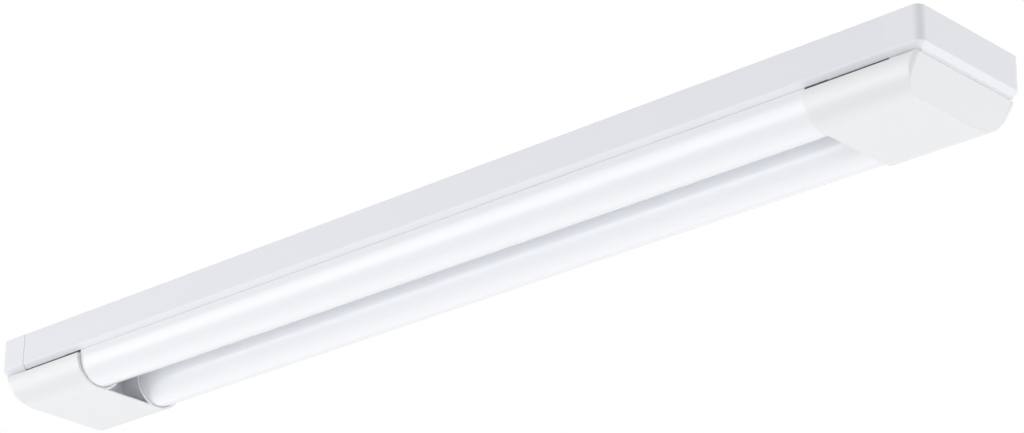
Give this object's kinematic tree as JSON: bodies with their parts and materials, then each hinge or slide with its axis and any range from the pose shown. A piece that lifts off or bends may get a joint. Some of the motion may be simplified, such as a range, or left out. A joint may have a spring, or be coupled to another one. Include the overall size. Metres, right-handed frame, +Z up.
{
  "type": "led batten light",
  "caption": "Long ceiling batten light: white body, opal half-tube diffusers side by side, moulded pull-off end covers, and a light head that drops from the body for wiring.",
  "frame": {"origin": "middle of the flat face that goes against the ceiling", "axes": "+Z up into the ceiling, +X along the light, +Y across it, away from the picture's camera"},
  "size_m": [1.2, 0.143, 0.073],
  "materials": {
    "white_steel": "satin white powder coat",
    "white_plastic": "satin white moulding",
    "opal_diffuser": "opal, satin",
    "strip_aluminium": "mill",
    "board_white": "white solder mask",
    "led_phosphor": "phosphor",
    "zinc_steel": "bright zinc",
    "rivet_aluminium": "plain",
    "driver_plastic": "fine texture",
    "connector_white": "plain",
    "terminal_grey": "plain",
    "button_orange": "plain",
    "button_blue": "plain",
    "button_green": "plain",
    "clamp_plastic": "plain",
    "rubber_grey": "matt",
    "tinned_brass": "tinned",
    "lead_brown": "satin",
    "lead_blue": "satin",
    "lead_earth": "satin, green with a yellow stripe",
    "lead_white": "satin"
  },
  "bodies": {
    "ceiling_body": {"base_channel": "white_steel", "end_cap_left": "white_plastic", "end_cap_right": "white_plastic", "cable_bush": "rubber_grey", "blanking_plugs": "rubber_grey", "tray_nuts": "zinc_steel"},
    "cover_left": {"end_cover_left": "white_plastic"},
    "cover_right": {"end_cover_right": "white_plastic"},
    "button_live": {"release_button_live": "button_orange"},
    "button_neutral": {"release_button_neutral": "button_blue"},
    "button_earth": {"release_button_earth": "button_green"},
    "light_head": {"board_joiners": "connector_white", "board_screws": "zinc_steel", "cable_clamp": "clamp_plastic", "clamp_screws": "zinc_steel", "diffuser_far": "opal_diffuser", "diffuser_near": "opal_diffuser", "driver_case": "driver_plastic", "driver_input": "connector_white", "driver_output": "connector_white", "driver_screws": "zinc_steel", "earth_lug": "tinned_brass", "earth_screw": "tinned_brass", "gear_tray": "white_steel", "lead_earth": "lead_earth", "lead_led_far": "lead_white", "lead_led_near": "lead_white", "lead_live": "lead_brown", "lead_neutral": "lead_blue", "led_board_far_left": "board_white", "led_board_far_right": "board_white", "led_board_near_left": "board_white", "led_board_near_right": "board_white", "led_chips_far_left": "led_phosphor", "led_chips_far_right": "led_phosphor", "led_chips_near_left": "led_phosphor", "led_chips_near_right": "led_phosphor", "led_strip_far": "strip_aluminium", "led_strip_near": "strip_aluminium", "strip_rivets": "rivet_aluminium", "terminal_block": "terminal_grey", "terminal_screws": "zinc_steel", "tray_screws": "zinc_steel"}
  },
  "joints": [
    {"name": "head_drop", "type": "slide", "parent": "ceiling_body", "child": "light_head", "axis": [0, 0, -1], "range_m": [0, 0.09]},
    {"name": "cover_left_pull", "type": "slide", "parent": "light_head", "child": "cover_left", "axis": [0, 0, -1], "range_m": [0, 0.05]},
    {"name": "cover_right_pull", "type": "slide", "parent": "light_head", "child": "cover_right", "axis": [0, 0, -1], "range_m": [0, 0.05]},
    {"name": "press_live", "type": "slide", "parent": "light_head", "child": "button_live", "axis": [0, 0, -1], "range_m": [0, 0.0015], "stiffness_N_per_m": 400},
    {"name": "press_neutral", "type": "slide", "parent": "light_head", "child": "button_neutral", "axis": [0, 0, -1], "range_m": [0, 0.0015], "stiffness_N_per_m": 400},
    {"name": "press_earth", "type": "slide", "parent": "light_head", "child": "button_earth", "axis": [0, 0, -1], "range_m": [0, 0.0015], "stiffness_N_per_m": 400}
  ]
}
